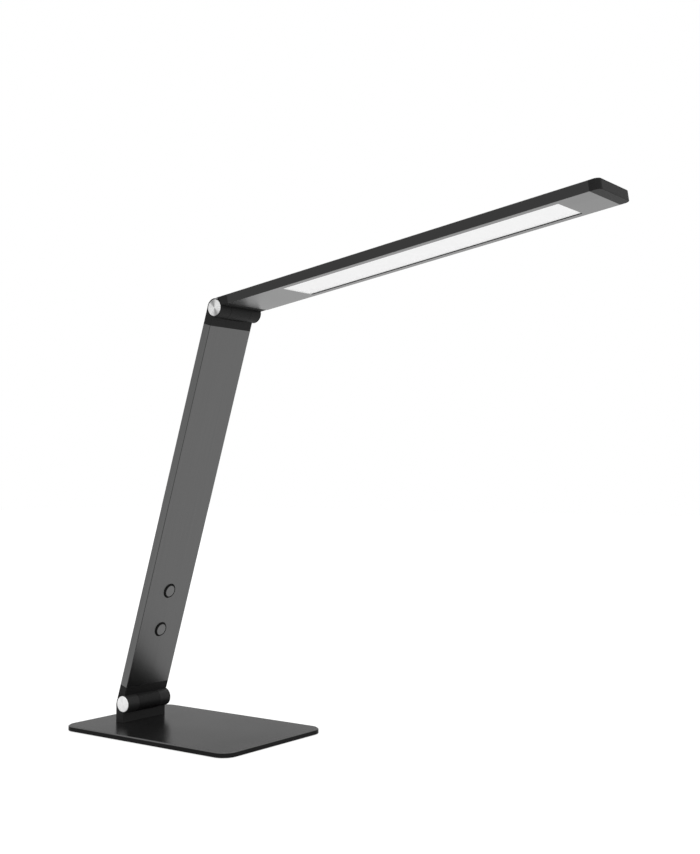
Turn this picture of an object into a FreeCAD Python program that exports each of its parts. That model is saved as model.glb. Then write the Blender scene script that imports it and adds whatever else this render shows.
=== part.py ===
import FreeCAD
import Part
import math
import os

# Folding LED table lamp: a weighted base, a flat arm and a flat lamp head on two friction hinges.
# Millimetres. The origin is on the table under the middle of the base. X runs from the hinge post
# towards the lamp head, Y runs along the hinge axes, and Z is up.

# Base plate and foot pad
base_length = 200.0
base_width = 133.4
base_thickness = 4.59
base_corner_radius = 13.0
base_edge_chamfer = 0.8
foot_pad_thickness = 0.75
foot_pad_inset = 4.0

# Hinge post and its screws
lower_axis_inset = 36.9
lower_axis_rise = 16.88
post_thickness = 9.07
post_screw_spacing = 18.0
post_screw_radius = 2.0
post_screw_head_radius = 3.8
post_screw_length = 10.0
post_screw_tip_room = 0.8

# Power socket in the back of the hinge post
socket_height = 4.5
socket_radius = 2.9
socket_depth = 7.2
socket_bore_radius = 1.85
socket_bore_depth = 6.2
socket_pin_radius = 0.65
socket_pin_length = 5.4
socket_pin_root = 0.6
socket_pin_root_radius = 0.45

# Hinge barrels, alike at both ends of the arm
lamp_width = 54.1
barrel_radius = 8.4
barrel_clearance = 0.35
barrel_end_chamfer = 0.3
centre_knuckle_length = 26.0
knuckle_side_gap = 0.3
web_thickness = 3.5
barrel_cavity_radius = 6.0
disc_radius = 7.4
disc_thickness = 1.6
disc_chamfer = 0.3
disc_clearance = 0.05
hinge_screw_radius = 3.0
hinge_screw_hollow_radius = 1.6
hinge_screw_head_radius = 5.2
hinge_screw_head_height = 2.2
hinge_screw_key_sides = 6
hinge_screw_key_radius = 2.7
hinge_screw_key_depth = 1.2
spring_washer_radius = 5.0
spring_washer_thickness = 0.7
spring_washer_dish = 0.4
friction_washer_radius = 6.4
friction_washer_thickness = 1.0
friction_washer_room = 0.03
wire_chamber_length = 9.0
wire_chamber_radius = 4.0
running_clearance = 0.05
seat_clearance = 0.02

# Flat twin lead that runs through both hinges
lead_width = 1.5
lead_thickness = 0.9
lead_hole_clearance = 0.3
lead_entry_inset = 5.25
lead_tight_bend = 1.7
lead_wide_bend = 8.0
lead_free_run = 6.0
lead_split_offset = 2.2
lead_split_gap = 0.3
lead_end_gap = 0.1
lead_socket_gap = 0.5

# Arm
arm_length = 376.4
arm_lean = 17.3
arm_thickness = 8.62
arm_wall = 1.4
arm_side_wall = 1.6
arm_rail_width = 1.5
arm_rail_thickness = 0.8
profile_edge_bevel = 0.4
cap_length = 16.3
spigot_length = 12.0
spigot_clearance = 0.1

# Control board, switches and push buttons in the arm
lower_button_rise = 71.2
upper_button_rise = 109.2
board_margin = 16.0
board_thickness = 1.2
board_play = 0.1
switch_size = 6.0
switch_height = 1.6
plunger_radius = 1.25
plunger_clearance = 0.1
plunger_engagement = 0.3
plunger_end_room = 0.1
button_hole_radius = 7.0
button_side_gap = 0.65
button_proud = 1.15
button_travel = 0.5
button_edge_chamfer = 0.3
button_flange_overhang = 1.0
button_flange_thickness = 0.85
button_flange_play = 0.05
button_face_rim = 0.9
button_face_thickness = 0.4
button_boss_radius = 2.4

# Lamp head
head_length = 371.9
head_tilt = 8.53
head_thickness = 8.41
head_top_wall = 1.3
head_bottom_wall = 1.3
head_side_wall = 2.0
head_cap_relief = 0.3
tip_cap_length = 8.6
tip_corner_radius = 4.6
tip_cap_wall = 1.8

# Light opening and the light unit behind it
opening_start = 73.8
opening_tip_margin = 36.6
opening_width = 40.7
opening_corner_radius = 0.8
diffuser_overlap = 2.5
diffuser_thickness = 1.2
diffuser_step = 0.5
diffuser_step_clearance = 0.15
reflector_thickness = 0.3
light_stack_play = 0.1
led_board_thickness = 0.8
led_board_height = 4.0
led_board_play = 0.2
led_length = 3.0
led_depth = 0.8
led_height = 2.0
led_pitch = 11.0
led_guide_gap = 0.05

# Values worked out from the driving dimensions
Vector = FreeCAD.Vector
touching = 1e-6
half_width = lamp_width / 2
plate_bottom = foot_pad_thickness
plate_top = plate_bottom + base_thickness
lower_axis = Vector(lower_axis_inset - base_length / 2, 0, plate_top + lower_axis_rise)
knuckle_end = centre_knuckle_length / 2
web_inner = knuckle_end + knuckle_side_gap
web_outer = web_inner + web_thickness
cavity_end = half_width - disc_thickness
screw_seat = web_outer + spring_washer_thickness + spring_washer_dish
screw_end = screw_seat + hinge_screw_head_height
chamber_end = wire_chamber_length / 2
relief_radius = barrel_radius + barrel_clearance
lead_radius = math.hypot(lead_width, lead_thickness) / 2
lead_hole_radius = lead_radius + lead_hole_clearance
lead_y = half_width - lead_entry_inset

post_back = -barrel_radius
post_middle = post_back + post_thickness / 2
socket_z = socket_height - lower_axis_rise

arm_back = -barrel_radius
arm_front = arm_back + arm_thickness
arm_middle = (arm_back + arm_front) / 2
arm_inner_back = arm_back + arm_wall
arm_inner_front = arm_front - arm_wall
arm_inner_half = half_width - arm_side_wall
arm_profile_start = cap_length
arm_profile_end = arm_length - cap_length
board_back = arm_inner_back + arm_rail_thickness
board_front = board_back + board_thickness
board_middle = (board_back + board_front) / 2
board_start = lower_button_rise - board_margin
board_end = upper_button_rise + board_margin
button_radius = button_hole_radius - button_side_gap
button_top = arm_front + button_proud
button_flange_front = arm_inner_front - button_flange_play
button_flange_back = button_flange_front - button_flange_thickness
button_face_radius = button_radius - button_face_rim
switch_top = board_front + switch_height
button_boss_back = switch_top + button_travel + plunger_end_room

head_top = barrel_radius
head_bottom = head_top - head_thickness
head_inner_bottom = head_bottom + head_bottom_wall
head_inner_top = head_top - head_top_wall
head_inner_half = half_width - head_side_wall
head_middle = (head_inner_bottom + head_inner_top) / 2
head_profile_end = head_length - tip_cap_length
opening_end = head_length - opening_tip_margin
diffuser_start = opening_start - diffuser_overlap
diffuser_end = opening_end + diffuser_overlap
diffuser_top = head_inner_bottom + diffuser_thickness
guide_top = head_inner_top - light_stack_play - reflector_thickness
led_board_outer = head_inner_half - led_board_play
led_board_inner = led_board_outer - led_board_thickness
guide_half = led_board_inner - led_depth - led_guide_gap
spigot_tip = cap_length + spigot_length


# Basic shapes
def block(x_low, x_high, y_low, y_high, z_low, z_high):
    """Box between two opposite corners."""
    size = Vector(x_high - x_low, y_high - y_low, z_high - z_low)
    return Part.makeBox(size.x, size.y, size.z, Vector(x_low, y_low, z_low))


def rod(radius, start, end):
    """Round bar from one point to another."""
    return Part.makeCylinder(radius, (end - start).Length, start, end - start)


def cross_rod(radius, y_low, y_high):
    """Round bar along a hinge axis that passes through the origin."""
    return rod(radius, Vector(0, y_low, 0), Vector(0, y_high, 0))


def upright_edges(shape, x_least):
    """Vertical edges of a box at or beyond a given X."""
    edges = []
    for edge in shape.Edges:
        first, last = edge.Vertexes[0].Point, edge.Vertexes[-1].Point
        if abs(first.z - last.z) > touching and first.x >= x_least - touching:
            edges.append(edge)
    return edges


def edges_at_height(shape, z):
    """Edges that lie wholly at one height."""
    return [edge for edge in shape.Edges if all(abs(v.Z - z) < touching for v in edge.Vertexes)]


def rounded_slab(x_low, x_high, half_y, z_low, z_high, corner_radius):
    """Flat slab whose four upright corners are rounded."""
    slab = block(x_low, x_high, -half_y, half_y, z_low, z_high)
    return slab.makeFillet(corner_radius, upright_edges(slab, x_low))


def mirrored(shape):
    """The same shape on the other side of the lamp's middle plane."""
    return shape.mirror(Vector(0, 0, 0), Vector(0, 1, 0))


def both_sides(shape):
    """A shape and its mirror image, as two separate solids."""
    return [shape, mirrored(shape)]


def bevelled_outline(low, high):
    """Section of a flat bar as wide as the lamp, with a small bevel on its four long edges."""
    bevel = profile_edge_bevel
    corners = []
    for edge, inward in ((low, bevel), (high, -bevel)):
        side = half_width if inward > 0 else -half_width
        step = -bevel if side > 0 else bevel
        corners += [(edge + inward, side), (edge, side + step)]
        corners += [(edge, -side - step), (edge + inward, -side)]
    return corners


def extruded(points, direction):
    """Closed polygon pushed along a direction into a solid."""
    return Part.Face(Part.makePolygon(points + points[:1])).extrude(direction)


def arm_bar(z_low, z_high):
    """Stretch of the arm's outer form."""
    points = [Vector(x, y, z_low) for x, y in bevelled_outline(arm_back, arm_front)]
    return extruded(points, Vector(0, 0, z_high - z_low))


def head_bar(x_low, x_high, bottom):
    """Stretch of the lamp head's outer form."""
    points = [Vector(x_low, y, z) for z, y in bevelled_outline(bottom, head_top)]
    return extruded(points, Vector(x_high - x_low, 0, 0))


def beyond(start, end, run):
    """Point on the line from start to end, a little past its end."""
    return end + (end - start).normalize() * run


def lead_through(points, bends):
    """Flat twin lead along straight runs joined by arcs that touch both runs."""
    first_run = (points[1] - points[0]).normalize()
    across = first_run.cross(points[2] - points[1]).normalize()
    side = across * (lead_width / 2)
    edge = across.cross(first_run) * (lead_thickness / 2)
    here = points[0]
    corners = [here + side + edge, here + side - edge, here - side - edge, here - side + edge]
    section = Part.Face(Part.makePolygon(corners + corners[:1]))
    pieces = []
    for before, corner, after, bend in zip(points, points[1:], points[2:], bends):
        into = (corner - before).normalize()
        out = (after - corner).normalize()
        turn = into.getAngle(out)
        setback = bend * math.tan(turn / 2)
        run = corner - into * setback - here
        pieces.append(section.extrude(run))
        section.translate(run)
        inward = (out - into * into.dot(out)).normalize()
        centre = here + run + inward * bend
        pieces.append(section.revolve(centre, into.cross(out), math.degrees(turn)))
        section.rotate(centre, into.cross(out), math.degrees(turn))
        here = corner + out * setback
    pieces.append(section.extrude(points[-1] - here))
    return pieces[0].multiFuse(pieces[1:])


# Places of the three main assemblies
def at_lower_hinge(shape):
    """Move a piece drawn about the lower hinge axis to its place."""
    moved = shape.copy()
    moved.translate(lower_axis)
    return moved


def on_arm(shape):
    """Lean a piece drawn along the upright arm to its place."""
    moved = shape.copy()
    moved.rotate(Vector(0, 0, 0), Vector(0, 1, 0), arm_lean)
    moved.translate(lower_axis)
    return moved


def at_arm_top(shape):
    """Move a piece drawn about the upper hinge axis onto the arm."""
    moved = shape.copy()
    moved.translate(Vector(0, 0, arm_length))
    return on_arm(moved)


lean = math.radians(arm_lean)
upper_axis = lower_axis + Vector(math.sin(lean), 0, math.cos(lean)) * arm_length


def on_head(shape):
    """Tilt a piece drawn along the level lamp head to its place."""
    moved = shape.copy()
    moved.rotate(Vector(0, 0, 0), Vector(0, 1, 0), -head_tilt)
    moved.translate(upper_axis)
    return moved


# Friction hinge pieces, drawn about an axis at the origin
def outer_knuckle():
    """Round end of the barrel beyond the centre knuckle, with a bevelled outer rim."""
    barrel = cross_rod(barrel_radius, web_inner, half_width)
    rim = [e for e in barrel.Edges if all(abs(v.Y - half_width) < touching for v in e.Vertexes)]
    return barrel.makeChamfer(barrel_end_chamfer, rim)


def outer_knuckle_hollow():
    """Bearing bore, washer cavity and disc seat inside one outer knuckle."""
    bore = cross_rod(hinge_screw_radius + running_clearance, web_inner, web_outer)
    cavity = cross_rod(barrel_cavity_radius, web_outer, cavity_end)
    seat = cross_rod(disc_radius + disc_clearance, cavity_end, half_width)
    return bore.fuse([cavity, seat])


def centre_knuckle():
    """Round middle stretch of the barrel."""
    return cross_rod(barrel_radius, -knuckle_end, knuckle_end)


def centre_knuckle_hollow():
    """Screw holes, washer recesses and the wire chamber inside the centre knuckle."""
    recess_floor = web_inner - friction_washer_thickness - 2 * friction_washer_room
    hole = cross_rod(hinge_screw_radius + seat_clearance, 0, knuckle_end)
    recess = cross_rod(friction_washer_radius + running_clearance, recess_floor, knuckle_end)
    chamber = cross_rod(wire_chamber_radius, 0, chamber_end)
    half = hole.fuse([recess, chamber])
    return half.fuse(mirrored(half))


def hinge_screws():
    """Hollow shoulder screws that enter the centre knuckle from both ends of the barrel."""
    shank = cross_rod(hinge_screw_radius, chamber_end, screw_seat)
    head = cross_rod(hinge_screw_head_radius, screw_seat, screw_end)
    key_floor = screw_end - hinge_screw_key_depth
    corners = []
    for corner in range(hinge_screw_key_sides):
        angle = 2 * math.pi * corner / hinge_screw_key_sides
        offset = Vector(math.cos(angle), 0, math.sin(angle)) * hinge_screw_key_radius
        corners.append(Vector(0, key_floor, 0) + offset)
    key = extruded(corners, Vector(0, hinge_screw_key_depth, 0))
    hollow = cross_rod(hinge_screw_hollow_radius, chamber_end, screw_end)
    return both_sides(shank.fuse(head).cut([key, hollow]))


def spring_washers():
    """Dished spring washers between each screw head and the web of its outer knuckle."""
    inner = hinge_screw_radius + running_clearance
    rim_low = Vector(spring_washer_radius, web_outer, 0)
    rim_high = rim_low + Vector(0, spring_washer_thickness, 0)
    hub_low = Vector(inner, web_outer + spring_washer_dish, 0)
    hub_high = hub_low + Vector(0, spring_washer_thickness, 0)
    section = Part.Face(Part.makePolygon([rim_low, rim_high, hub_high, hub_low, rim_low]))
    return both_sides(section.revolve(Vector(0, 0, 0), Vector(0, 1, 0), 360))


def friction_washers():
    """Flat washers that rub between the centre knuckle and the outer knuckles."""
    high = web_inner - friction_washer_room
    low = high - friction_washer_thickness
    ring = cross_rod(friction_washer_radius, low, high)
    return both_sides(ring.cut(cross_rod(hinge_screw_radius + running_clearance, low, high)))


def end_disc():
    """Turned metal disc that closes the outer end of the barrel."""
    disc = cross_rod(disc_radius, cavity_end, half_width)
    rim = [e for e in disc.Edges if all(abs(v.Y - half_width) < touching for v in e.Vertexes)]
    return disc.makeChamfer(disc_chamfer, rim)


def barrel_relief(y_low, y_high):
    """Room for the other piece's knuckle to turn."""
    return cross_rod(relief_radius, y_low, y_high)


def lead_hole(start, end):
    """Hole for the wire lead that breaks right through at its end."""
    return rod(lead_hole_radius, start, beyond(start, end, lead_hole_radius))


# Base
def foot_pad():
    """Anti-slip sheet under the plate."""
    half_x = base_length / 2 - foot_pad_inset
    half_y = base_width / 2 - foot_pad_inset
    corner = base_corner_radius - foot_pad_inset
    return rounded_slab(-half_x, half_x, half_y, 0, plate_bottom, corner)


def post_screw(side, clearance, tip_room):
    """Countersunk screw up through the plate, or its hole when given clearance and room."""
    x = lower_axis.x + post_middle
    y = side * post_screw_spacing / 2
    head_height = post_screw_head_radius - post_screw_radius
    radius = post_screw_radius + clearance
    tip = Vector(x, y, plate_bottom + post_screw_length + tip_room)
    foot = Vector(x, y, plate_bottom)
    head_radius = post_screw_head_radius + clearance
    head = Part.makeCone(head_radius, radius, head_height, foot, Vector(0, 0, 1))
    return rod(radius, foot, tip).fuse(head)


def post_screw_holes():
    """Clear holes for both post screws, through the plate and into the post."""
    return [post_screw(side, seat_clearance, post_screw_tip_room) for side in (-1, 1)]


def base_plate():
    """Heavy plate with rounded corners, a bevelled top edge and countersunk holes."""
    slab = rounded_slab(-base_length / 2, base_length / 2, base_width / 2, plate_bottom, plate_top,
                        base_corner_radius)
    slab = slab.makeChamfer(base_edge_chamfer, edges_at_height(slab, plate_top))
    return slab.cut(post_screw_holes())


socket_back = Vector(post_back, lead_y, socket_z)
socket_floor = socket_back + Vector(socket_depth, 0, 0)
socket_bore_floor = socket_back + Vector(socket_bore_depth, 0, 0)
socket_pin_end = socket_bore_floor + Vector(socket_pin_root, 0, 0)
lead_at_socket = Vector(post_middle, lead_y, socket_z + socket_radius)


def hinge_post():
    """Post on the plate that carries the two outer knuckles of the lower hinge."""
    body = block(post_back, post_back + post_thickness, -half_width, half_width, -lower_axis_rise, 0)
    body = body.fuse(both_sides(outer_knuckle()))
    body = body.cut(barrel_relief(-web_inner, web_inner))
    body = body.cut(both_sides(outer_knuckle_hollow()))
    socket_hole = rod(socket_radius + seat_clearance, socket_back, socket_floor)
    lead_corner = Vector(0, lead_y, 0)
    lead_way = lead_hole(lead_corner, lead_at_socket)
    body = at_lower_hinge(body.cut([socket_hole, lead_way]))
    return body.cut(post_screw_holes())


def dc_socket():
    """Round power socket, open at the back of the post."""
    body = rod(socket_radius, socket_back, socket_floor)
    bore = rod(socket_bore_radius, socket_back, socket_bore_floor)
    pin_hole = rod(socket_pin_root_radius, socket_bore_floor, socket_pin_end)
    return at_lower_hinge(body.cut([bore, pin_hole]))


def dc_socket_pin():
    """Centre contact of the power socket, riveted into its floor by a thinner root."""
    tip = socket_bore_floor - Vector(socket_pin_length, 0, 0)
    root = rod(socket_pin_root_radius, socket_bore_floor, socket_pin_end)
    return at_lower_hinge(rod(socket_pin_radius, socket_bore_floor, tip).fuse(root))


def base_lead():
    """Lead from the power socket to the middle of the lower hinge."""
    corner = Vector(0, lead_y, 0)
    start = beyond(corner, lead_at_socket, -lead_socket_gap)
    end = Vector(0, lead_split_offset, 0)
    return at_lower_hinge(lead_through([start, corner, end], [lead_tight_bend]))


# Arm
def arm_spigot(z_low, z_high):
    """Tongue of an end cap inside the arm profile, clear of its board rails."""
    half_y = arm_inner_half - arm_rail_width - spigot_clearance
    back = arm_inner_back + spigot_clearance
    front = arm_inner_front - spigot_clearance
    return block(back, front, -half_y, half_y, z_low, z_high)


def arm_lower_cap():
    """End cap with the centre knuckle of the lower hinge."""
    body = arm_bar(0, cap_length)
    body = body.cut(both_sides(barrel_relief(knuckle_end, lamp_width)))
    body = body.fuse([centre_knuckle(), arm_spigot(cap_length, spigot_tip)])
    lead_way = lead_hole(Vector(0, 0, 0), Vector(arm_middle, 0, spigot_tip))
    return on_arm(body.cut([centre_knuckle_hollow(), lead_way]))


def arm_upper_cap():
    """End cap with the two outer knuckles of the upper hinge."""
    body = arm_bar(-cap_length, 0)
    body = body.fuse(both_sides(outer_knuckle()))
    body = body.cut(barrel_relief(-web_inner, web_inner))
    body = body.fuse(arm_spigot(-spigot_tip, -cap_length))
    lead_way = lead_hole(Vector(0, lead_y, 0), Vector(arm_middle, lead_y, -spigot_tip))
    return at_arm_top(body.cut(both_sides(outer_knuckle_hollow()) + [lead_way]))


def button_axis_point(rise, x):
    """Point on a button's axis, at a distance from the plane of the hinge axes."""
    return Vector(x, 0, rise)


def arm_rails():
    """Ribs along both inner sides of the profile that hold the edges of the control board."""
    groove_front = board_front + board_play
    inner = arm_inner_half - arm_rail_width
    rails = []
    for low, high in ((arm_inner_back, board_back), (groove_front, groove_front + arm_rail_thickness)):
        rails += both_sides(block(low, high, inner, arm_inner_half, arm_profile_start, arm_profile_end))
    return rails


def arm_profile():
    """Hollow extruded arm with board rails and two button holes in its front."""
    hollow = block(arm_inner_back, arm_inner_front, -arm_inner_half, arm_inner_half,
                   arm_profile_start, arm_profile_end)
    body = arm_bar(arm_profile_start, arm_profile_end).cut(hollow).fuse(arm_rails())
    for rise in (lower_button_rise, upper_button_rise):
        start = button_axis_point(rise, arm_inner_front)
        body = body.cut(rod(button_hole_radius, start, button_axis_point(rise, arm_front)))
    return on_arm(body)


def control_board():
    """Driver board that slides between the rails behind the buttons."""
    half_y = arm_inner_half - board_play
    return on_arm(block(board_back, board_front, -half_y, half_y, board_start, board_end))


def button_switches():
    """Switch bodies on the board, one behind each button."""
    half = switch_size / 2
    bodies = []
    for rise in (lower_button_rise, upper_button_rise):
        body = block(board_front, switch_top, -half, half, rise - half, rise + half)
        well = rod(plunger_radius + plunger_clearance, button_axis_point(rise, board_front),
                   button_axis_point(rise, switch_top))
        bodies.append(on_arm(body.cut(well)))
    return bodies


def push_button(rise):
    """Round button with a retaining flange, a boss that meets its switch, and a seat for its face."""
    top = button_axis_point(rise, button_top)
    flange_back = button_axis_point(rise, button_flange_back)
    flange_front = button_axis_point(rise, button_flange_front)
    cap = rod(button_radius, flange_back, top)
    rim = [e for e in cap.Edges if all(abs(v.X - button_top) < touching for v in e.Vertexes)]
    cap = cap.makeChamfer(button_edge_chamfer, rim)
    flange = rod(button_hole_radius + button_flange_overhang, flange_back, flange_front)
    boss = rod(button_boss_radius, button_axis_point(rise, button_boss_back), flange_front)
    seat_floor = button_axis_point(rise, button_top - button_face_thickness)
    seat = rod(button_face_radius + disc_clearance, seat_floor, top)
    return on_arm(cap.fuse([flange, boss]).cut(seat))


def button_face(rise):
    """Metal face let into the top of a button."""
    floor = button_axis_point(rise, button_top - button_face_thickness)
    return on_arm(rod(button_face_radius, floor, button_axis_point(rise, button_top)))


def switch_plunger(rise):
    """Switch plunger that a button presses into its switch body."""
    low = button_axis_point(rise, switch_top - plunger_engagement)
    return on_arm(rod(plunger_radius, low, button_axis_point(rise, button_boss_back)))


def arm_lower_lead():
    """Lead from the middle of the lower hinge to the control board."""
    start = Vector(0, lead_split_offset - lead_split_gap, 0)
    corner = Vector(0, 0, 0)
    past_spigot = beyond(corner, Vector(arm_middle, 0, spigot_tip), lead_free_run)
    end = Vector(board_middle, 0, board_start - lead_end_gap)
    return on_arm(lead_through([start, corner, past_spigot, end], [lead_tight_bend, lead_wide_bend]))


def arm_upper_lead():
    """Lead from the control board to the middle of the upper hinge."""
    start = Vector(board_middle, 0, board_end + lead_end_gap)
    corner = Vector(0, lead_y, arm_length)
    past_spigot = beyond(corner, Vector(arm_middle, lead_y, arm_length - spigot_tip), lead_free_run)
    end = Vector(0, lead_split_offset, arm_length)
    return on_arm(lead_through([start, past_spigot, corner, end], [lead_wide_bend, lead_tight_bend]))


# Lamp head
def head_spigot(x_low, x_high):
    """Tongue of an end cap inside the head profile."""
    half_y = head_inner_half - spigot_clearance
    bottom = head_inner_bottom + spigot_clearance
    return block(x_low, x_high, -half_y, half_y, bottom, head_inner_top - spigot_clearance)


def head_inner_cap():
    """End cap with the centre knuckle of the upper hinge."""
    body = head_bar(0, cap_length, head_bottom + head_cap_relief)
    body = body.cut(both_sides(barrel_relief(knuckle_end, lamp_width)))
    body = body.fuse([centre_knuckle(), head_spigot(cap_length, spigot_tip)])
    lead_way = lead_hole(Vector(0, 0, 0), Vector(spigot_tip, 0, head_middle))
    return on_head(body.cut([centre_knuckle_hollow(), lead_way]))


def light_opening(clearance, z_low, z_high):
    """Window in the underside of the head, or the diffuser's step that fits it."""
    half_y = opening_width / 2 - clearance
    return rounded_slab(opening_start + clearance, opening_end - clearance, half_y, z_low, z_high,
                        opening_corner_radius)


def head_profile():
    """Hollow extruded head with the light opening in its underside."""
    hollow = block(cap_length, head_profile_end, -head_inner_half, head_inner_half,
                   head_inner_bottom, head_inner_top)
    body = head_bar(cap_length, head_profile_end, head_bottom).cut(hollow)
    return on_head(body.cut(light_opening(0, head_bottom, head_inner_bottom)))


def tip_cap():
    """End cap with rounded corners and a hollow tongue that stops the light guide."""
    body = block(head_profile_end, head_length, -half_width, half_width, head_bottom, head_top)
    body = body.makeFillet(tip_corner_radius, upright_edges(body, head_length))
    outline = edges_at_height(body, head_top) + edges_at_height(body, head_bottom)
    outer = [e for e in outline if max(v.X for v in e.Vertexes) > head_profile_end + profile_edge_bevel]
    body = body.makeChamfer(profile_edge_bevel, outer)
    stop = diffuser_end + board_play
    body = body.fuse(head_spigot(stop, head_profile_end))
    half_y = head_inner_half - tip_cap_wall
    bottom = head_inner_bottom + spigot_clearance + tip_cap_wall / 2
    top = head_inner_top - spigot_clearance - tip_cap_wall / 2
    pocket = block(stop, head_length - tip_corner_radius, -half_y, half_y, bottom, top)
    return on_head(body.cut(pocket))


def diffuser():
    """Opal sheet on the inside of the underside wall, with a step that drops into the opening."""
    half_y = opening_width / 2 + diffuser_overlap
    sheet = block(diffuser_start, diffuser_end, -half_y, half_y, head_inner_bottom, diffuser_top)
    step = light_opening(diffuser_step_clearance, head_inner_bottom - diffuser_step, head_inner_bottom)
    return on_head(sheet.fuse(step))


def light_guide():
    """Clear plate that spreads the light of the edge diodes."""
    return on_head(block(diffuser_start, diffuser_end, -guide_half, guide_half, diffuser_top, guide_top))


def reflector_sheet():
    """White film on top of the light guide."""
    top = guide_top + reflector_thickness
    return on_head(block(diffuser_start, diffuser_end, -guide_half, guide_half, guide_top, top))


def led_board(side):
    """Narrow board that stands along one long edge of the light guide."""
    top = head_inner_bottom + led_board_height
    board = block(diffuser_start, diffuser_end, led_board_inner, led_board_outer, head_inner_bottom, top)
    return on_head(board if side > 0 else mirrored(board))


def leds():
    """Light-emitting diodes along both boards, facing the light guide."""
    length = diffuser_end - diffuser_start
    count = int(length / led_pitch)
    first = (diffuser_start + diffuser_end - (count - 1) * led_pitch) / 2
    low = (diffuser_top + guide_top - led_height) / 2
    chips = []
    for index in range(count):
        middle = first + index * led_pitch
        chip = block(middle - led_length / 2, middle + led_length / 2, led_board_inner - led_depth,
                     led_board_inner, low, low + led_height)
        chips += both_sides(chip)
    return [on_head(chip) for chip in chips]


def head_lead():
    """Lead from the middle of the upper hinge to the far diode board."""
    start = Vector(0, lead_split_offset - lead_split_gap, 0)
    corner = Vector(0, 0, 0)
    past_spigot = beyond(corner, Vector(spigot_tip, 0, head_middle), lead_free_run)
    end_y = head_inner_half - lead_hole_radius
    end_z = head_inner_bottom + led_board_height - lead_radius
    end = Vector(diffuser_start - lead_end_gap, end_y, end_z)
    before_end = end - Vector(lead_free_run, 0, 0)
    bends = [lead_tight_bend, lead_wide_bend, lead_wide_bend]
    return on_head(lead_through([start, corner, past_spigot, before_end, end], bends))


def led_link_lead():
    """Lead that links the near ends of the two diode boards."""
    high_x = diffuser_start - lead_end_gap
    top = head_inner_bottom + lead_width
    lead = block(high_x - lead_thickness, high_x, -led_board_outer, led_board_outer, head_inner_bottom, top)
    return on_head(lead)


# Every piece, under its own name
pieces = {
    "foot_pad": foot_pad(),
    "base_plate": base_plate(),
    "post_screws": [post_screw(side, 0, 0) for side in (-1, 1)],
    "hinge_post": hinge_post(),
    "dc_socket": dc_socket(),
    "dc_socket_pin": dc_socket_pin(),
    "base_lead": base_lead(),
    "lower_disc_near": at_lower_hinge(mirrored(end_disc())),
    "lower_disc_far": at_lower_hinge(end_disc()),
    "lower_spring_washers": [at_lower_hinge(washer) for washer in spring_washers()],
    "lower_hinge_screws": [on_arm(screw) for screw in hinge_screws()],
    "lower_friction_washers": [on_arm(washer) for washer in friction_washers()],
    "arm_lower_cap": arm_lower_cap(),
    "arm_profile": arm_profile(),
    "arm_upper_cap": arm_upper_cap(),
    "control_board": control_board(),
    "button_switches": button_switches(),
    "arm_lower_lead": arm_lower_lead(),
    "arm_upper_lead": arm_upper_lead(),
    "upper_disc_near": at_arm_top(mirrored(end_disc())),
    "upper_disc_far": at_arm_top(end_disc()),
    "upper_spring_washers": [at_arm_top(washer) for washer in spring_washers()],
    "upper_hinge_screws": [on_head(screw) for screw in hinge_screws()],
    "upper_friction_washers": [on_head(washer) for washer in friction_washers()],
    "lower_button": push_button(lower_button_rise),
    "lower_button_face": button_face(lower_button_rise),
    "lower_switch_plunger": switch_plunger(lower_button_rise),
    "upper_button": push_button(upper_button_rise),
    "upper_button_face": button_face(upper_button_rise),
    "upper_switch_plunger": switch_plunger(upper_button_rise),
    "head_inner_cap": head_inner_cap(),
    "head_profile": head_profile(),
    "tip_cap": tip_cap(),
    "diffuser": diffuser(),
    "light_guide": light_guide(),
    "reflector_sheet": reflector_sheet(),
    "led_board_near": led_board(-1),
    "led_board_far": led_board(1),
    "leds": leds(),
    "head_lead": head_lead(),
    "led_link_lead": led_link_lead(),
}

os.makedirs("parts", exist_ok=True)
for name, shape in pieces.items():
    solids = shape if isinstance(shape, list) else [shape]
    whole = solids[0] if len(solids) == 1 else Part.makeCompound(solids)
    whole.exportStep("parts/" + name + ".step")
    state = "valid" if whole.isValid() else "BAD"
    print(name, len(whole.Solids), "solids", round(whole.Volume / 1000, 2), "cm3", state)

print("lower hinge axis", lower_axis, "upper hinge axis", upper_axis)
print("power socket mouth", lower_axis + socket_back)
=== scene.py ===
# %% [markdown]
# This lesson dresses a folding LED table lamp. The lamp's solids come ready made from the CAD
# frame, already in place and in metres. We add the finishes, a few turned and rolled pieces that
# deserve a smoother surface than the solids have, and the studio around the lamp.

import math

import bmesh
import bpy
import numpy as np
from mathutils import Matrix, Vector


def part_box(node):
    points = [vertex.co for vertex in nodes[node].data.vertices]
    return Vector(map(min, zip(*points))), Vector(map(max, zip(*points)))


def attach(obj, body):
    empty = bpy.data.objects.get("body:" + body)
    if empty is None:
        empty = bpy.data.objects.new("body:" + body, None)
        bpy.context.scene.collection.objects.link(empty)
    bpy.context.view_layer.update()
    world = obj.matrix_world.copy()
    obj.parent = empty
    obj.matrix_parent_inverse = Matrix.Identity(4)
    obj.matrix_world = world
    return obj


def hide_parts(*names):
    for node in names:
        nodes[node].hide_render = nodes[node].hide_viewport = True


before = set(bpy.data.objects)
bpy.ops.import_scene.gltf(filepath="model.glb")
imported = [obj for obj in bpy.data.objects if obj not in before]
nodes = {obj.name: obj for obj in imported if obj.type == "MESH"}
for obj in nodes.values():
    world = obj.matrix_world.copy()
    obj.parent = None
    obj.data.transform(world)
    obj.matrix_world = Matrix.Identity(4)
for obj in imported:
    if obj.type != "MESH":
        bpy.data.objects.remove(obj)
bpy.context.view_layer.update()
print("solids in the frame:", len(nodes))

# %% [markdown]
# A photograph fixes the camera: where it stood, how far it turned and how long its lens was. The
# values below put every corner of the plate, the arm and the head where the photograph has them.
# Blender's sensor width counts along the longer side of the picture, which is the upright one here.

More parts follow.
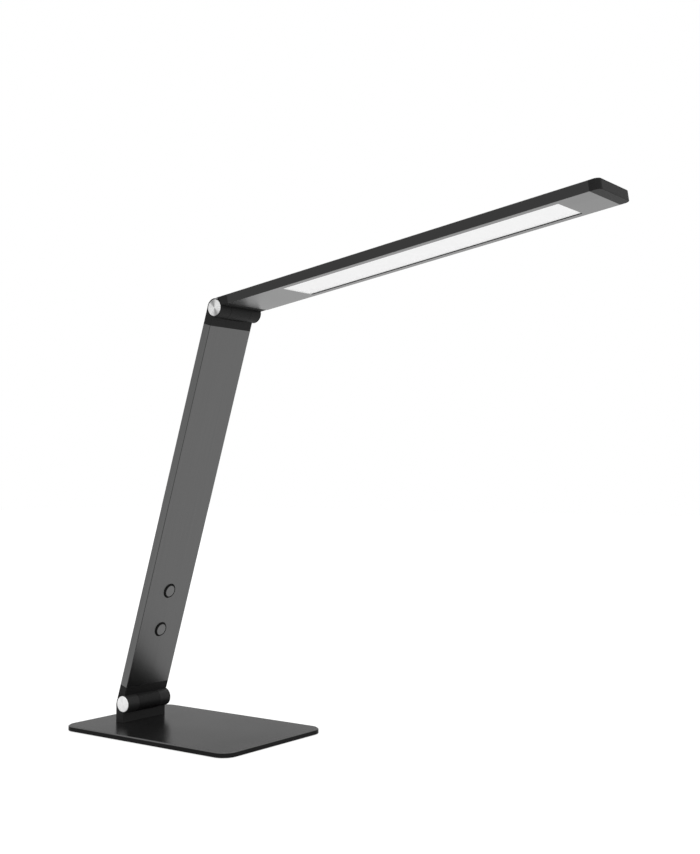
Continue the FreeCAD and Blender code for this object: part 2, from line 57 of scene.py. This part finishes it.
# %% Camera
picture_height_px = 854
focal_length_px = 1225.8
sensor_mm = 36.0
camera_place = (0.78086, -0.82573, 0.23292)
camera_azimuth = math.radians(36.155)
camera_pitch = math.radians(2.298)

camera_data = bpy.data.cameras.new("photo_camera")
camera_data.sensor_width = sensor_mm
camera_data.lens = sensor_mm * focal_length_px / picture_height_px
camera = bpy.data.objects.new("photo_camera", camera_data)
camera.location = camera_place
camera.rotation_euler = (math.pi / 2 + camera_pitch, 0.0, camera_azimuth)
bpy.context.scene.collection.objects.link(camera)
bpy.context.scene.camera = camera
print("lens in millimetres:", round(camera_data.lens, 2))

# %% [markdown]
# Every finish is a node tree around one Principled shader. A few small helpers keep the trees
# short: one starts a material and sets the plain numbers on the shader's own sockets, one adds a
# node and sets its inputs in one go, and the others make the noises and ramps that finishes share.


# %% Helpers for finishes
def grey(level):
    """A neutral colour of one linear level."""
    return (level, level, level, 1.0)


def finish(name, **sockets):
    """Start a material: a Principled shader whose named sockets hold plain values."""
    material = bpy.data.materials.new(name)
    material.use_nodes = True
    shader = material.node_tree.nodes["Principled BSDF"]
    for socket, value in sockets.items():
        shader.inputs[socket.replace("_", " ")].default_value = value
    return material, shader


def add_node(tree, kind, inputs=None, **settings):
    """Add a node, choose its settings, then set or link its inputs by name or number."""
    node = tree.nodes.new(kind)
    for setting, value in settings.items():
        setattr(node, setting, value)
    for socket, value in (inputs or {}).items():
        if isinstance(value, bpy.types.NodeSocket):
            tree.links.new(value, node.inputs[socket])
        else:
            node.inputs[socket].default_value = value
    return node


def arithmetic(tree, operation, *values):
    """One step of arithmetic on numbers."""
    return add_node(tree, "ShaderNodeMath", dict(enumerate(values)), operation=operation).outputs[0]


def vector_step(tree, operation, output, *values):
    """One step of arithmetic on vectors."""
    node = add_node(tree, "ShaderNodeVectorMath", dict(enumerate(values)), operation=operation)
    return node.outputs[output]


def blend(tree, factor, first, second):
    """Colour that goes from the first to the second as the factor rises from 0 to 1."""
    inputs = {"Factor": factor, "A": first, "B": second}
    return add_node(tree, "ShaderNodeMix", inputs, data_type="RGBA").outputs["Result"]


def place_on_piece(material, middle=(0.0, 0.0, 0.0), turn=(0.0, 0.0, 0.0), stretch=(1.0, 1.0, 1.0)):
    """Object coordinates measured from a middle, turned onto the piece's axes, then stretched."""
    tree = material.node_tree
    vector = add_node(tree, "ShaderNodeTexCoord").outputs["Object"]
    back = tuple(-v for v in middle)
    vector = add_node(tree, "ShaderNodeMapping", {"Vector": vector, "Location": back}).outputs[0]
    vector = add_node(tree, "ShaderNodeMapping", {"Vector": vector, "Rotation": turn}).outputs[0]
    return add_node(tree, "ShaderNodeMapping", {"Vector": vector, "Scale": stretch}).outputs[0]


def noise(material, place, scale, detail=2.0):
    """Fractal noise from 0 to 1 with so many features per metre."""
    inputs = {"Vector": place, "Scale": scale, "Detail": detail}
    return add_node(material.node_tree, "ShaderNodeTexNoise", inputs).outputs[0]


def spread(material, value, low, high, start=0.3, end=0.7):
    """A value between start and end, carried over to the range from low to high."""
    inputs = {"Value": value, "From Min": start, "From Max": end, "To Min": low, "To Max": high}
    return add_node(material.node_tree, "ShaderNodeMapRange", inputs).outputs[0]


def two_tone(material, value, low, high):
    """Colour that goes from one tone to another as the value rises from 0.3 to 0.7."""
    node = add_node(material.node_tree, "ShaderNodeValToRGB", {"Fac": value})
    for stop, tone, position in zip(node.color_ramp.elements, (low, high), (0.3, 0.7)):
        stop.color = tone
        stop.position = position
    return node.outputs[0]


def join(material, source, shader, socket):
    """Link a node's output to a socket of the shader."""
    material.node_tree.links.new(source, shader.inputs[socket])


def relief(material, shader, height, metres):
    """Bump: a height of 1 stands for so many metres."""
    inputs = {"Height": height, "Distance": metres, "Strength": 1.0}
    bump = add_node(material.node_tree, "ShaderNodeBump", inputs)
    join(material, bump.outputs[0], shader, "Normal")


def dress(material, *names):
    """Give a finish to every material slot of the named solids."""
    for name in names:
        mesh = nodes[name].data
        mesh.materials.clear()
        mesh.materials.append(material)
    print(material.name, "on", ", ".join(names))


def fine_grain(name, dark, light, dull, glossy, grains, depth, **sockets):
    """A neutral finish whose tone, gloss and relief all follow one fine grain."""
    material, shader = finish(name, **sockets)
    grain = noise(material, place_on_piece(material), grains, 3.0)
    join(material, two_tone(material, grain, grey(dark), grey(light)), shader, "Base Color")
    join(material, spread(material, grain, glossy, dull), shader, "Roughness")
    relief(material, shader, grain, depth)
    return material


# %% [markdown]
# The base plate is steel under a satin black coat. A sprayed coat dries with a faint waviness,
# which blurs what it mirrors: the post and the bright disc show as soft shapes. The waviness here
# is very shallow, and the gloss drifts a little from place to place. On the slope that breaks the top
# edge a lighter grey is painted in as a highlight, which draws a fine light line round
# the plate.

# %% Satin coat of the base plate
slope_angle = math.radians(35.0)
slope_match = 0.08
painted_edge_highlight_tone = 0.095
coat_dark, coat_light = 0.009, 0.011
coat_glossy, coat_dull = 0.23, 0.26
coat_wave = 0.000003
satin_coat, shader = finish("satin_black_coat", Specular_IOR_Level=0.027)
place = place_on_piece(satin_coat)
drift = noise(satin_coat, place, 18.0)
waviness = noise(satin_coat, place, 700.0)
join(satin_coat, spread(satin_coat, drift, coat_glossy, coat_dull), shader, "Roughness")
relief(satin_coat, shader, waviness, coat_wave)
tree = satin_coat.node_tree
normal = add_node(tree, "ShaderNodeNewGeometry").outputs["True Normal"]
upright = add_node(tree, "ShaderNodeSeparateXYZ", {0: normal}).outputs["Z"]
# Painted highlight: the slope band gets a lighter grey than the black coat.
slope = arithmetic(tree, "COMPARE", upright, math.cos(slope_angle), slope_match)
coat = two_tone(satin_coat, drift, grey(coat_dark), grey(coat_light))
join(satin_coat, blend(tree, slope, coat, grey(painted_edge_highlight_tone)), shader, "Base Color")
print("satin coat: thin on a slope of", round(math.degrees(slope_angle)), "degrees")

# %% [markdown]
# The post is a casting with a finely textured black coat. The caps and the buttons are moulded
# plastic with a spark-eroded texture, which is why they look nearly black beside the metal.

# %% Cast post and moulded caps
cast_coat = fine_grain("cast_black_coat", 0.013, 0.018, 0.50, 0.42, 2600.0, 0.000012,
                       Specular_IOR_Level=0.14)
dress(cast_coat, "hinge_post")
moulded = fine_grain("moulded_black", 0.005, 0.008, 0.60, 0.50, 3200.0, 0.000012,
                     Specular_IOR_Level=0.15)
dress(moulded, "arm_lower_cap", "arm_upper_cap", "head_inner_cap", "tip_cap")
button_black = fine_grain("button_black", 0.006, 0.010, 0.60, 0.50, 3200.0, 0.000012,
                          Specular_IOR_Level=0.05)

# %% [markdown]
# The arm and the head are aluminium extrusions, brushed along their length and then anodised dark
# grey. Brushing leaves long fine scratches, so the noise is squeezed across the bar and stretched
# along it. Each bar has its own lean, so the pattern is first turned onto that bar's axes. The
# narrow bevels along the edges get painted shade, a darker tone that draws a fine line.

# %% Brushed and anodised bars
arm_lean = math.radians(17.3)
head_tilt = math.radians(8.53)
along = 9.0
across = 3600.0
arm_tone = 0.115
button_tone = 0.136
head_tone = 0.130
painted_bevel_shade_tone = 0.045
bevel_slope = math.sqrt(0.5)
bevel_match = 0.2
scratch_depth = 0.0000025


def brushed_bar(name, turn, stretch, tone):
    """Anodised aluminium whose scratches run along the bar, with painted shade on its edge bevels."""
    material, shader = finish(name, Metallic=1.0)
    scratch = noise(material, place_on_piece(material, turn=turn, stretch=stretch), 1.0, 4.0)
    drift = noise(material, place_on_piece(material), 14.0)
    tones = two_tone(material, scratch, grey(0.93 * tone), grey(1.07 * tone))
    tree = material.node_tree
    normal = add_node(tree, "ShaderNodeNewGeometry").outputs["True Normal"]
    sideways = add_node(tree, "ShaderNodeSeparateXYZ", {0: normal}).outputs["Y"]
    sideways = arithmetic(tree, "ABSOLUTE", sideways)
    # Painted shade: the bevels get a darker tone.
    bevel = arithmetic(tree, "COMPARE", sideways, bevel_slope, bevel_match)
    join(material, blend(tree, bevel, tones, grey(painted_bevel_shade_tone)), shader, "Base Color")
    join(material, spread(material, drift, 0.29, 0.33), shader, "Roughness")
    relief(material, shader, scratch, scratch_depth)
    return material, shader


arm_turn = (0.0, -arm_lean, 0.0)
arm_metal, shader = brushed_bar("brushed_arm", arm_turn, (across, across, along), arm_tone)
dress(arm_metal, "arm_profile")
button_metal, shader = brushed_bar("brushed_button", arm_turn, (across, across, along), button_tone)
head_turn = (0.0, head_tilt, 0.0)
head_metal, head_shader = brushed_bar("brushed_head", head_turn, (along, across, across), head_tone)
dress(head_metal, "head_profile")

# %% [markdown]
# The head's outer sides get painted shade, a darker tone than its broad faces. The window for the light has
# two kinds of walls. Its long walls get painted shade, a dark tone, so that they don't mirror the bright
# sheet. Its short end walls get painted light, a near-white metal tone, so they mirror the sheet fully and
# nearly vanish beside it. A long wall looks sideways and lies well inside the bar's outer sides, and an end
# wall looks along the bar. Directions are taken in the bar's own space, so that each wall keeps its tone
# when the head is tilted.

# %% Sides of the head and walls of the window
wall_limit = 0.022
facing_limit = 0.9
painted_side_shade_tone = 0.042
painted_wall_shade_tone = 0.02
painted_wall_light_tone = 0.95
bar_way = (math.cos(head_tilt), 0.0, math.sin(head_tilt))

tree = head_metal.node_tree
normal = add_node(tree, "ShaderNodeNewGeometry").outputs["True Normal"]
normal = add_node(tree, "ShaderNodeVectorTransform", {0: normal}, vector_type="NORMAL",
                  convert_from="WORLD", convert_to="OBJECT").outputs[0]
place = add_node(tree, "ShaderNodeTexCoord").outputs["Object"]
sideways = add_node(tree, "ShaderNodeSeparateXYZ", {0: normal}).outputs["Y"]
from_middle = add_node(tree, "ShaderNodeSeparateXYZ", {0: place}).outputs["Y"]
inside = arithmetic(tree, "LESS_THAN", arithmetic(tree, "ABSOLUTE", from_middle), wall_limit)
sideways = arithmetic(tree, "GREATER_THAN", arithmetic(tree, "ABSOLUTE", sideways), facing_limit)
long_wall = arithmetic(tree, "MULTIPLY", sideways, inside)
endways = vector_step(tree, "DOT_PRODUCT", "Value", normal, bar_way)
end_wall = arithmetic(tree, "GREATER_THAN", arithmetic(tree, "ABSOLUTE", endways), facing_limit)
# Painted shade on the outer sides and the window's long walls, painted light on its end walls.
colour = head_shader.inputs["Base Color"].links[0].from_socket
colour = blend(tree, sideways, colour, grey(painted_side_shade_tone))
colour = blend(tree, long_wall, colour, grey(painted_wall_shade_tone))
colour = blend(tree, end_wall, colour, grey(painted_wall_light_tone))
join(head_metal, colour, head_shader, "Base Color")
print("window walls lie within", wall_limit, "m of the middle")

# %% [markdown]
# The discs in the barrel ends are turned on a lathe, and fine grooves run round the middle. The streaks
# that such grooves throw are painted in as highlight and shade: the tone of a disc depends on the angle
# round its axis. Two broad dark painted streaks lie opposite each other and finer ones lie between them,
# and the lower discs are painted brighter than the upper ones, while the grooves themselves are a wave of
# the distance from the axis.

# %% Turned metal
groove_pitch = 0.00022
groove_depth = 0.000002
# Tones and depths of the painted streaks; the lower discs are painted brighter than the upper ones.
painted_streak_angle = math.radians(112.0)
painted_streak_dark = 0.14
painted_streak_bright = {"lower": 0.89, "upper": 0.76}
painted_streak_depth = {"lower": 0.15, "upper": 0.80}
bare_metal = {"lower": 0.60, "upper": 0.30}


def turned_metal_painted_streaks(name, middle, depth, bare, bright):
    """Bright metal with fine grooves and radial streaks of painted highlight and shade round an axis along
    Y through the middle.
    """
    material, shader = finish(name, Metallic=bare, Roughness=0.30, Anisotropic=0.75)
    tree = material.node_tree
    place = place_on_piece(material, middle=middle, stretch=(1.0, 0.0, 1.0))
    distance = vector_step(tree, "LENGTH", "Value", place)
    groove = arithmetic(tree, "SINE", arithmetic(tree, "MULTIPLY", distance, 2 * math.pi / groove_pitch))
    relief(material, shader, groove, groove_depth)
    spoke = vector_step(tree, "NORMALIZE", "Vector", place)
    # The streaks are painted highlight and shade, set by the angle round the axis.
    streak = (math.cos(painted_streak_angle), 0.0, math.sin(painted_streak_angle))
    match = arithmetic(tree, "ABSOLUTE", vector_step(tree, "DOT_PRODUCT", "Value", spoke, streak))
    broad = spread(material, match, 1.0, 1.0 - depth, 0.80, 1.0)
    fine = spread(material, noise(material, spoke, 5.0, 3.0), 1.0 - 0.5 * depth, 1.0)
    light = arithmetic(tree, "MULTIPLY", broad, fine)
    tone = spread(material, light, painted_streak_dark, bright, 0.0, 1.0)
    join(material, tone, shader, "Base Color")
    tangent = add_node(tree, "ShaderNodeTangent", direction_type="RADIAL", axis="Y")
    join(material, tangent.outputs[0], shader, "Tangent")
    return material


print("grooves per millimetre on the discs:", round(0.001 / groove_pitch, 1))

# %% [markdown]
# The opal sheet in the head spreads the light of the diodes. It is milky plastic that glows evenly
# over its whole area, with a fine satin on its face.

# %% Opal sheet
opal, shader = finish("opal_sheet", Roughness=0.4, Emission_Strength=0.34)
shader.inputs["Emission Color"].default_value = grey(1.0)
satin = noise(opal, place_on_piece(opal), 2500.0)
join(opal, two_tone(opal, satin, grey(0.54), grey(0.56)), shader, "Base Color")
relief(opal, shader, satin, 0.000004)
dress(opal, "diffuser")

# %% [markdown]
# What hides in the lamp shows when it is taken apart, so each of those pieces has a finish of its
# own: ribbed rubber under the plate, soft jackets on the leads, steel screws and washers, nylon,
# green boards with pale tracks, and clear acrylic behind the opal sheet.

# %% Hidden pieces
pad_rubber, shader = finish("foot_rubber", Roughness=0.75, Specular_IOR_Level=0.25)
ribs = add_node(pad_rubber.node_tree, "ShaderNodeTexWave",
                {"Vector": place_on_piece(pad_rubber), "Scale": 120.0, "Distortion": 0.0}).outputs["Fac"]
join(pad_rubber, two_tone(pad_rubber, ribs, grey(0.008), grey(0.016)), shader, "Base Color")
relief(pad_rubber, shader, ribs, 0.0003)
dress(pad_rubber, "foot_pad")

jacket = fine_grain("lead_jacket", 0.012, 0.020, 0.65, 0.55, 1500.0, 0.00002)
dress(jacket, "base_lead", "arm_lower_lead", "arm_upper_lead", "head_lead", "led_link_lead")
steel = fine_grain("bright_steel", 0.45, 0.55, 0.36, 0.26, 1800.0, 0.000003, Metallic=1.0)
dress(steel, "post_screws", "lower_hinge_screws", "upper_hinge_screws", "lower_spring_washers",
      "upper_spring_washers")
nylon = fine_grain("washer_nylon", 0.66, 0.74, 0.5, 0.4, 900.0, 0.00001)
dress(nylon, "lower_friction_washers", "upper_friction_washers")
white_film = fine_grain("reflector_film", 0.80, 0.86, 0.55, 0.45, 600.0, 0.000005)
dress(white_film, "reflector_sheet")
dark_plastic = fine_grain("socket_plastic", 0.010, 0.016, 0.55, 0.45, 2200.0, 0.00001)
dress(dark_plastic, "dc_socket", "button_switches", "lower_switch_plunger", "upper_switch_plunger")

brass, shader = finish("contact_brass", Metallic=1.0)
wear = noise(brass, place_on_piece(brass), 1500.0)
join(brass, two_tone(brass, wear, (0.60, 0.42, 0.16, 1.0), (0.72, 0.52, 0.22, 1.0)), shader, "Base Color")
join(brass, spread(brass, wear, 0.25, 0.35), shader, "Roughness")
dress(brass, "dc_socket_pin")

board, shader = finish("green_board", Roughness=0.4)
tracks = add_node(board.node_tree, "ShaderNodeTexBrick",
                  {"Vector": place_on_piece(board), "Scale": 140.0, "Mortar Size": 0.04,
                   "Color1": (0.012, 0.075, 0.035, 1.0), "Color2": (0.014, 0.085, 0.040, 1.0),
                   "Mortar": (0.05, 0.18, 0.08, 1.0)}).outputs["Color"]
join(board, tracks, shader, "Base Color")
dress(board, "control_board", "led_board_near", "led_board_far")

chip, shader = finish("led_chip", Roughness=0.35, Emission_Strength=0.6)
shader.inputs["Emission Color"].default_value = (1.0, 0.93, 0.75, 1.0)
phosphor = noise(chip, place_on_piece(chip), 4000.0)
join(chip, two_tone(chip, phosphor, (0.80, 0.66, 0.24, 1.0), (0.88, 0.76, 0.36, 1.0)), shader, "Base Color")
dress(chip, "leds")

acrylic, shader = finish("clear_acrylic", Roughness=0.05, IOR=1.49, Transmission_Weight=1.0)
dots = add_node(acrylic.node_tree, "ShaderNodeTexVoronoi",
                {"Vector": place_on_piece(acrylic), "Scale": 500.0, "Randomness": 0.0}).outputs["Distance"]
join(acrylic, two_tone(acrylic, dots, grey(0.95), grey(0.85)), shader, "Base Color")
dress(acrylic, "light_guide")

# %% [markdown]
# New pieces are surfaces worked out with numpy. Two kinds are enough for this lamp. A turned piece
# spins a profile about an axis. A rolled plate carries an edge profile round a rounded rectangle.
# Both give a grid of points, so their faces follow from the grid's rows and columns alone.


# %% Helpers for surfaces
def grid_faces(rows, columns):
    """Quads between neighbouring rows, with the last column joined to the first."""
    row, column = np.meshgrid(np.arange(rows - 1), np.arange(columns), indexing="ij")
    after = (column + 1) % columns
    quads = np.stack([row * columns + column, row * columns + after,
                      (row + 1) * columns + after, (row + 1) * columns + column], axis=-1)
    return quads.reshape(-1, 4).tolist()


def new_piece(name, points, faces, material, body, slot, stands_for, sharp=35.0):
    """Mesh from points and faces, closed at its poles, shaded smooth up to the sharp angle."""
    mesh = bpy.data.meshes.new(name)
    mesh.from_pydata(points.tolist(), [], faces)
    shell = bmesh.new()
    shell.from_mesh(mesh)
    bmesh.ops.remove_doubles(shell, verts=shell.verts, dist=1e-7)
    bmesh.ops.recalc_face_normals(shell, faces=shell.faces)
    shell.to_mesh(mesh)
    shell.free()
    mesh.shade_smooth()
    mesh.set_sharp_from_angle(angle=math.radians(sharp))
    mesh.materials.append(material)
    piece = bpy.data.objects.new(name, mesh)
    bpy.context.scene.collection.objects.link(piece)
    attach(piece, body)
    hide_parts(*stands_for)
    print(name, "has", len(mesh.polygons), "faces")
    return piece


def rounded_corner(start, end, steps=6):
    """Quarter circle that turns a profile corner: from the point start, bulging outward, to end."""
    angle = np.linspace(0.0, math.pi / 2, steps)
    start, end = np.array(start), np.array(end)
    if abs(start[0]) > abs(end[0]):
        return np.stack([end[0] + (start[0] - end[0]) * np.cos(angle),
                         start[1] + (end[1] - start[1]) * np.sin(angle)], axis=-1)
    return np.stack([start[0] + (end[0] - start[0]) * np.sin(angle),
                     end[1] + (start[1] - end[1]) * np.cos(angle)], axis=-1)


def turned_points(profile, middle, axis, steps):
    """P(u, v) = middle + height(v) axis + radius(v) (cos u side + sin u other), as one array."""
    axis = np.array(axis)
    side = np.cross(axis, (0.0, 1.0, 0.0) if abs(axis[1]) < 0.5 else (0.0, 0.0, 1.0))
    side = side / np.linalg.norm(side)
    other = np.cross(axis, side)
    angle = np.linspace(0.0, 2 * math.pi, steps, endpoint=False)
    ring = np.cos(angle)[:, None] * side + np.sin(angle)[:, None] * other
    radius, height = profile[:, 0], profile[:, 1]
    points = radius[:, None, None] * ring[None] + (height[:, None] * axis)[:, None] + np.array(middle)
    return points.reshape(-1, 3)


def turned_piece(name, profile, middle, axis, steps=96, **facts):
    """Surface of revolution of a profile of (radius, height) rows about an axis."""
    profile = np.vstack(profile)
    points = turned_points(profile, middle, axis, steps)
    return new_piece(name, points, grid_faces(len(profile), steps), **facts)


# %% [markdown]
# The plate is blanked from sheet steel and its top edge is broken by a slight slope, which catches some
# light and carries a painted highlight as a thin line. The plate is a rounded rectangle whose outline moves
# inwards while its
# height rises, row by row: a broken lower edge, the upright wall, a small round, then the slope.
# A last flat row keeps the shading of the top level right up to the slope.

# %% Base plate
mm = 0.001
plate_low, plate_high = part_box("base_plate")
plate_size = plate_high - plate_low
base_corner = 13.0 * mm
bottom_break = 0.3 * mm
edge_round = 0.3 * mm
slope_width = 1.1 * mm
slope_drop = slope_width * math.tan(slope_angle)
flat_border = 0.6 * mm


def rounded_rectangle(length, width, radius, steps=24):
    """Points of the outline and their outward directions: four quarter circles and straight sides."""
    quarter = np.linspace(0.0, math.pi / 2, steps)
    angle = np.concatenate([quarter + corner * math.pi / 2 for corner in range(4)])
    outward = np.stack([np.cos(angle), np.sin(angle)], axis=-1)
    signs = np.repeat(np.array([(1, 1), (-1, 1), (-1, -1), (1, -1)], float), steps, axis=0)
    middle = signs * np.array([length / 2 - radius, width / 2 - radius])
    return middle + radius * outward, outward


outline, outward = rounded_rectangle(plate_size.x, plate_size.y, base_corner)
turn = np.linspace(0.0, math.pi / 2 - slope_angle, 6)
round_inset = edge_round * (1 - np.cos(turn))
round_height = plate_high.z - slope_drop - edge_round * (np.sin(turn[-1]) - np.sin(turn))
slope_end = round_inset[-1] + slope_width
inset = np.concatenate([[bottom_break, 0.0], round_inset, [slope_end, slope_end + flat_border]])
height = np.concatenate([[plate_low.z, plate_low.z + bottom_break], round_height, [plate_high.z] * 2])
flat = outline[None] - inset[:, None, None] * outward[None]
level = np.broadcast_to(height[:, None, None], flat.shape[:2] + (1,))
points = np.concatenate([flat, level], axis=-1).reshape(-1, 3)
rows, columns = len(inset), len(outline)
faces = grid_faces(rows, columns)
faces += [list(range(columns)), list(range((rows - 1) * columns, rows * columns))]
new_piece("blanked_plate", points, faces, material=satin_coat, body="base", slot="black_enamel",
          stands_for=["base_plate"], sharp=8.0)

# %% [markdown]
# Each disc is a shallow turned cap: a rounded rim, a flat ring, and a face that is dished a tenth
# of a millimetre, so its real reflections turn slowly as the lamp is moved, while the painted streaks stay
# put.

# %% Discs in the barrel ends
disc_roll = 0.35 * mm
disc_dish = 0.12 * mm
ring_width = 0.35 * mm

for hinge, body in (("lower", "base"), ("upper", "arm")):
    for side, sign in (("near", -1.0), ("far", 1.0)):
        low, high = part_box(f"{hinge}_disc_{side}")
        radius = (high.x - low.x) / 2
        thickness = high.y - low.y
        middle = ((low.x + high.x) / 2, low.y if sign < 0 else high.y, (low.z + high.z) / 2)
        roll = rounded_corner((radius, -disc_roll), (radius - disc_roll, 0.0))
        rings = np.linspace(radius - disc_roll - ring_width, 0.0, 12)
        dish = np.stack([rings, -disc_dish * (1 - (rings / rings[0]) ** 2)], axis=-1)
        profile = [[(0.0, -thickness), (radius, -thickness)], roll, dish]
        metal = turned_metal_painted_streaks(f"turned_{hinge}_{side}", middle, painted_streak_depth[hinge], bare_metal[hinge],
                             painted_streak_bright[hinge])
        turned_piece(f"{hinge}_{side}_turned_disc", profile, middle, (0.0, sign, 0.0), steps=128,
                     material=metal, body=body, slot="turned_disc", stands_for=[f"{hinge}_disc_{side}"])

# %% [markdown]
# A push button is turned too: a boss that meets the switch, a flange that keeps the button in the
# arm, a cap with a rounded rim and a metal face let into it. The button's axis is square to the
# arm's front, so both profiles are spun about that slanted axis.

# %% Push buttons
button_radius = 6.35 * mm
button_roll = 0.25 * mm
button_proud = 1.15 * mm
flange_radius = 8.0 * mm
flange_front = -1.45 * mm
flange_back = -2.30 * mm
boss_radius = 2.4 * mm
boss_back = -3.02 * mm
face_radius = 5.25 * mm
face_seat = 0.4 * mm
face_dish = 0.06 * mm
arm_front = 0.22 * mm
front_axis = np.array([math.cos(arm_lean), 0.0, -math.sin(arm_lean)])
up_the_arm = np.array([math.sin(arm_lean), 0.0, math.cos(arm_lean)])
lower_hinge = np.array([-63.1 * mm, 0.0, 22.22 * mm])

shank = [(0.0, boss_back), (boss_radius, boss_back), (boss_radius, flange_back),
         (flange_radius, flange_back), (flange_radius, flange_front), (button_radius, flange_front)]
rim = rounded_corner((button_radius, button_proud - button_roll),
                     (button_radius - button_roll, button_proud))
seat = [(face_radius + 0.05 * mm, button_proud), (face_radius + 0.05 * mm, button_proud - face_seat),
        (0.0, button_proud - face_seat)]
face_rings = np.linspace(face_radius - 0.1 * mm, 0.0, 8)
face_sag = face_dish * (1 - (face_rings / face_rings[0]) ** 2)
face_top = np.stack([face_rings, button_proud - face_sag], axis=-1)
face_profile = [[(0.0, button_proud - face_seat), (face_radius, button_proud - face_seat),
                 (face_radius, button_proud - 0.1 * mm)], face_top]
for name, rise in (("lower", 71.2 * mm), ("upper", 109.2 * mm)):
    middle = lower_hinge + up_the_arm * rise + front_axis * arm_front
    body = f"{name}_push_button"
    turned_piece(f"{name}_button_cap", [shank, rim, seat], middle, front_axis, material=button_black,
                 body=body, slot="black_plastic", stands_for=[f"{name}_button"])
    turned_piece(f"{name}_button_inlay", face_profile, middle, front_axis, material=button_metal, body=body,
                 slot="grey_aluminium", stands_for=[f"{name}_button_face"])

# %% [markdown]
# The studio is a white sweep under a wide soft box, with a second one in front that only fills and
# is kept out of mirror rays, so that dark metal stays dark from every side. The floor and the world
# are white for rays from the camera, mirror rays and rays through glass. The floor keeps a part that
# real light falls on, so the lamp's shadow stays, and the walls give a plain even light.


# %% Floor
def first_sight(tree):
    """1 for rays from the camera, mirror rays and rays through glass, else 0."""
    path = add_node(tree, "ShaderNodeLightPath")
    total = path.outputs["Is Camera Ray"]
    for name in ("Is Glossy Ray", "Is Transmission Ray"):
        total = arithmetic(tree, "MAXIMUM", total, path.outputs[name])
    return total


floor_half = 6.0
bounce_tone = 0.8
lit_tone = 0.30
glow_near, glow_far = 0.82, 1.0
glow_start, glow_end = 0.4, 2.5
corners = np.array([(-1, -1, 0), (1, -1, 0), (1, 1, 0), (-1, 1, 0)], float) * floor_half
floor_mesh = bpy.data.meshes.new("floor")
floor_mesh.from_pydata(corners.tolist(), [], [(0, 1, 2, 3)])
floor = bpy.data.objects.new("floor", floor_mesh)
bpy.context.scene.collection.objects.link(floor)

floor_paper = bpy.data.materials.new("floor_paper")
floor_paper.use_nodes = True
tree = floor_paper.node_tree
tree.nodes.clear()
bounce = add_node(tree, "ShaderNodeBsdfDiffuse", {"Color": grey(bounce_tone)})
lit = add_node(tree, "ShaderNodeBsdfDiffuse", {"Color": grey(lit_tone)})
place = add_node(tree, "ShaderNodeTexCoord").outputs["Object"]
reach = vector_step(tree, "LENGTH", "Value", place)
evened = spread(floor_paper, reach, glow_near, glow_far, glow_start, glow_end)
glow = add_node(tree, "ShaderNodeEmission", {"Color": grey(1.0), "Strength": evened})
seen = add_node(tree, "ShaderNodeAddShader", {0: lit.outputs[0], 1: glow.outputs[0]})
ways = {0: first_sight(tree), 1: bounce.outputs[0], 2: seen.outputs[0]}
choice = add_node(tree, "ShaderNodeMixShader", ways)
add_node(tree, "ShaderNodeOutputMaterial", {"Surface": choice.outputs[0]})
floor_mesh.materials.append(floor_paper)
print("floor half width in metres:", floor_half)

# %% World and soft boxes
ambient = 0.42

world = bpy.data.worlds.new("studio")
world.use_nodes = True
bpy.context.scene.world = world
tree = world.node_tree
tree.nodes.clear()
walls = add_node(tree, "ShaderNodeBackground", {"Color": grey(1.0), "Strength": ambient})
white = add_node(tree, "ShaderNodeBackground", {"Color": grey(1.0), "Strength": 1.0})
ways = {0: first_sight(tree), 1: walls.outputs[0], 2: white.outputs[0]}
pick = add_node(tree, "ShaderNodeMixShader", ways)
add_node(tree, "ShaderNodeOutputWorld", {"Surface": pick.outputs[0]})
print("light from the walls:", ambient)


def soft_box(name, place, target, size, watts):
    """Square area lamp aimed from a place at a target."""
    data = bpy.data.lights.new(name, "AREA")
    data.shape = "SQUARE"
    data.size = size
    data.energy = watts
    lamp = bpy.data.objects.new(name, data)
    aim = np.array(target) - np.array(place)
    lamp.location = place
    tilt = math.atan2(math.hypot(aim[0], aim[1]), -aim[2])
    lamp.rotation_euler = (tilt, 0.0, math.atan2(-aim[0], aim[1]))
    bpy.context.scene.collection.objects.link(lamp)
    return lamp


lamp_middle = (0.05, 0.0, 0.2)
soft_box("top_box", (0.1, 0.4, 1.8), lamp_middle, 1.4, 14.0)
front_box = soft_box("front_box", (2.2, -2.6, 2.2), lamp_middle, 4.0, 140.0)
front_box.visible_glossy = False
bpy.context.scene.view_settings.view_transform = "Standard"
